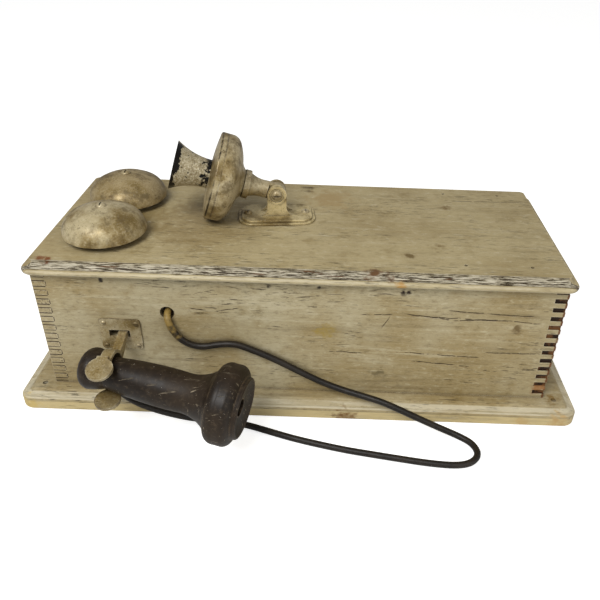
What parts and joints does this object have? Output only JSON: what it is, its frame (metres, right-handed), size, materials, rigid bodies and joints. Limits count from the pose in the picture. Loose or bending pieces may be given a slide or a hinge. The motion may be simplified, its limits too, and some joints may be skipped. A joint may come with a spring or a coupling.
{
  "type": "magneto wall telephone",
  "caption": "Antique magneto wall telephone in a finger-jointed painted wooden case, with gongs, a tilting transmitter, a switch hook, a corded receiver and a hand crank.",
  "frame": {"origin": "centre of the backboard's flat back face, which lies on the surface", "axes": "+X towards the telephone's foot, +Z away from the wall, -Y towards the side with the switch hook"},
  "size_m": [0.5394, 0.3441, 0.2382],
  "materials": {
    "painted_wood": "silver-grey paint over wood, chipped and worn on the mouldings",
    "painted_metal": "silver-grey paint over brass and iron, with rust at the edges",
    "painted_gong": "silver-grey paint, stained and chipped",
    "chipped_horn": "silver paint flaking off black hard rubber",
    "hard_rubber": "brown-black hard rubber with scratches and white specks",
    "cord_black": "brown-black woven cord, worn at its exit",
    "steel": "dull steel",
    "iron": "dark iron",
    "brass": "tarnished brass",
    "winding": "green silk-wound wire",
    "cell_paper": "brown paper jacket",
    "bare_wood": "bare brown wood",
    "black_fibre": "black fibre"
  },
  "bodies": {
    "case": {"backboard": "painted_wood", "case_near_side": "painted_wood", "case_far_side": "painted_wood", "case_top_end": "painted_wood", "case_foot_end": "painted_wood", "hinge_case_leaves": "painted_metal", "hinge_case_screws": "steel", "hook_plate": "painted_metal", "hook_plate_screws": "painted_metal", "switch_frame": "steel", "contact_springs": "brass", "magneto_base": "bare_wood", "magneto_frame": "iron", "magneto_magnets": "iron", "crank_bush": "brass", "dry_cells": "cell_paper", "induction_coil": "winding", "condenser": "steel", "terminal_block": "bare_wood", "cord_anchor": "black_fibre", "cord_case": "cord_black"},
    "door": {"door": "painted_wood", "hinge_door_leaves": "painted_metal", "hinge_door_screws": "steel", "gong_near": "painted_gong", "gong_far": "painted_gong", "gong_posts": "steel", "gong_screws": "painted_metal", "ringer_frame": "iron", "ringer_coils": "winding", "clapper_hanger": "brass", "transmitter_bracket": "painted_metal", "bracket_screws": "painted_metal", "pivot_bolt": "painted_metal", "pivot_nut": "brass", "door_catch": "steel"},
    "clapper": {"clapper_armature": "iron", "clapper_rod": "brass"},
    "transmitter": {"transmitter_arm": "painted_metal", "transmitter_shell": "painted_metal", "transmitter_face": "painted_metal", "transmitter_diaphragm": "steel", "carbon_button": "brass", "mouthpiece": "chipped_horn", "transmitter_screws": "steel"},
    "hook": {"hook_lever": "painted_metal"},
    "receiver": {"receiver_shell": "hard_rubber", "receiver_cap": "hard_rubber", "receiver_diaphragm": "steel", "receiver_magnet": "iron", "receiver_coils": "winding", "receiver_tail_screw": "brass", "receiver_bush": "black_fibre", "cord_receiver": "cord_black"},
    "crank": {"crank_shaft": "steel", "drive_gear": "brass", "crank_arm": "painted_metal"},
    "knob": {"crank_knob": "bare_wood"},
    "rotor": {"magneto_rotor": "iron", "magneto_pinion": "brass"}
  },
  "joints": [
    {"name": "door_hinge", "type": "hinge", "parent": "case", "child": "door", "pos_m": [0, 0.1061, 0.1417], "axis": [-1, 0, 0], "range_deg": [0, 105]},
    {"name": "transmitter_tilt", "type": "hinge", "parent": "door", "child": "transmitter", "pos_m": [-0.0297, 0.0105, 0.1799], "axis": [-0.1219, 0.9925, 0], "range_deg": [0, 120]},
    {"name": "clapper_swing", "type": "hinge", "parent": "door", "child": "clapper", "pos_m": [-0.205, -0.0046, 0.1292], "axis": [1, 0, 0], "range_deg": [-4, 4]},
    {"name": "hook_switch", "type": "hinge", "parent": "case", "child": "hook", "pos_m": [-0.16451, -0.06205, 0.079], "axis": [0, 0, 1], "range_deg": [-13.5, 0]},
    {"name": "receiver_lift", "type": "slide", "parent": "hook", "child": "receiver", "axis": [-0.9724, 0.2049, 0.1115], "range_m": [0, 0.02]},
    {"name": "crank_spin", "type": "hinge", "parent": "case", "child": "crank", "pos_m": [-0.06, 0, 0.078], "axis": [0, 1, 0], "continuous": true},
    {"name": "knob_spin", "type": "hinge", "parent": "crank", "child": "knob", "pos_m": [-0.06, 0.12, 0.028], "axis": [0, 1, 0], "continuous": true},
    {"name": "rotor_spin", "type": "hinge", "parent": "case", "child": "rotor", "pos_m": [-0.06, 0, 0.042], "axis": [0, 1, 0], "continuous": true}
  ],
  "couplings": [
    {"joint": "rotor_spin", "follows": "crank_spin", "ratio": -5}
  ]
}
